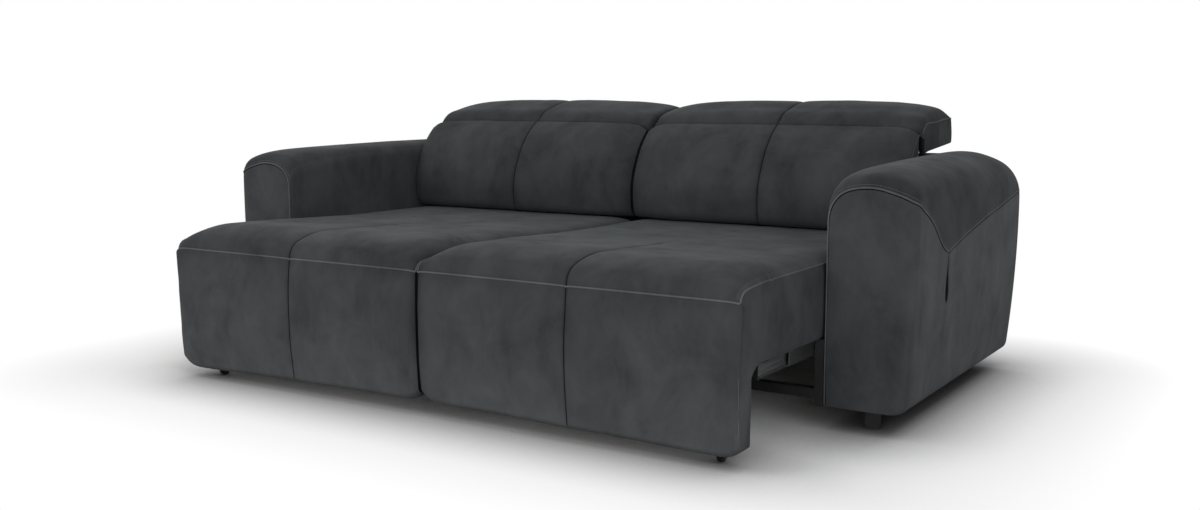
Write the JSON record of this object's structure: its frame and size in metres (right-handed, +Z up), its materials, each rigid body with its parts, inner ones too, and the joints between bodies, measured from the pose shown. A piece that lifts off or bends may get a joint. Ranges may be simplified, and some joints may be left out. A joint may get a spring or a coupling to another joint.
{
  "type": "reclining sofa",
  "caption": "Upholstered sofa with pull-out seats on rollers, rolled arms, crowned back cushions and folding headrests on ratchet hinges.",
  "frame": {"origin": "centre of the footprint of the whole sofa as stored, on the floor", "axes": "+X to the right as seen from the front, +Y from the front of the seats to the back, +Z up"},
  "size_m": [2.4006, 1.593, 0.8494],
  "materials": {
    "velvet": "short pile velvet",
    "webbing": "woven elastic",
    "plywood": "raw",
    "timber": "raw",
    "black_board": "black film",
    "black_steel": "powder coat",
    "zinc_steel": "zinc plated",
    "nylon": "moulded",
    "wheel_black": "moulded",
    "foot_black": "moulded"
  },
  "bodies": {
    "base": {"left_arm_pad": "velvet", "left_arm_front": "velvet", "left_back_cushion": "velvet", "right_arm_pad": "velvet", "right_arm_front": "velvet", "right_back_cushion": "velvet", "slide_outer": "zinc_steel", "back_webbing": "webbing", "hinge_plates": "black_steel", "hinge_pins": "zinc_steel", "arm_frames": "plywood", "arm_soles": "black_board", "side_boards": "black_board", "arm_feet": "foot_black", "front_rail": "black_steel", "rear_rail": "black_steel", "centre_beam": "black_board", "centre_foot": "foot_black", "back_rails": "timber", "back_ribs": "plywood", "back_top": "velvet", "back_cover": "velvet"},
    "left_seat": {"left_seat_pad": "velvet", "left_front_pad": "velvet", "left_front_board": "plywood", "left_seat_frame": "timber", "left_seat_webbing": "webbing", "left_seat_runners": "black_steel", "left_slide_inner": "zinc_steel", "left_caster_bracket": "black_steel", "left_caster_axle": "zinc_steel"},
    "left_slides": {"left_slide_middle": "zinc_steel", "left_slide_cages": "nylon"},
    "left_headrest": {"left_headrest_pad": "velvet", "left_headrest_board": "plywood", "left_hinge_arms": "black_steel", "left_hinge_pawls": "zinc_steel"},
    "left_caster": {"left_caster_wheel": "wheel_black"},
    "right_seat": {"right_seat_pad": "velvet", "right_front_pad": "velvet", "right_front_board": "plywood", "right_seat_frame": "timber", "right_seat_webbing": "webbing", "right_seat_runners": "black_steel", "right_slide_inner": "zinc_steel", "right_caster_bracket": "black_steel", "right_caster_axle": "zinc_steel"},
    "right_slides": {"right_slide_middle": "zinc_steel", "right_slide_cages": "nylon"},
    "right_headrest": {"right_headrest_pad": "velvet", "right_headrest_board": "plywood", "right_hinge_arms": "black_steel", "right_hinge_pawls": "zinc_steel"},
    "right_caster": {"right_caster_wheel": "wheel_black"}
  },
  "joints": [
    {"name": "left_seat_slide", "type": "slide", "parent": "base", "child": "left_seat", "axis": [0, 1, 0], "range_m": [0, 0.33]},
    {"name": "left_slide_extension", "type": "slide", "parent": "base", "child": "left_slides", "axis": [0, 1, 0], "range_m": [0, 0.165]},
    {"name": "left_headrest_hinge", "type": "hinge", "parent": "base", "child": "left_headrest", "pos_m": [-0.48, 0.54644, 0.716], "axis": [1, 0, 0], "range_deg": [0, 60]},
    {"name": "left_caster_roll", "type": "hinge", "parent": "left_seat", "child": "left_caster", "pos_m": [-0.866, -0.69756, 0.015], "axis": [1, 0, 0], "continuous": true},
    {"name": "right_seat_slide", "type": "slide", "parent": "base", "child": "right_seat", "axis": [0, 1, 0], "range_m": [0, 0.33]},
    {"name": "right_slide_extension", "type": "slide", "parent": "base", "child": "right_slides", "axis": [0, 1, 0], "range_m": [0, 0.165]},
    {"name": "right_headrest_hinge", "type": "hinge", "parent": "base", "child": "right_headrest", "pos_m": [0.48, 0.54644, 0.716], "axis": [1, 0, 0], "range_deg": [0, 60]},
    {"name": "right_caster_roll", "type": "hinge", "parent": "right_seat", "child": "right_caster", "pos_m": [0.866, -0.69756, 0.015], "axis": [1, 0, 0], "continuous": true}
  ],
  "couplings": [
    {"joint": "left_slide_extension", "follows": "left_seat_slide", "ratio": 0.5},
    {"joint": "right_slide_extension", "follows": "right_seat_slide", "ratio": 0.5}
  ]
}
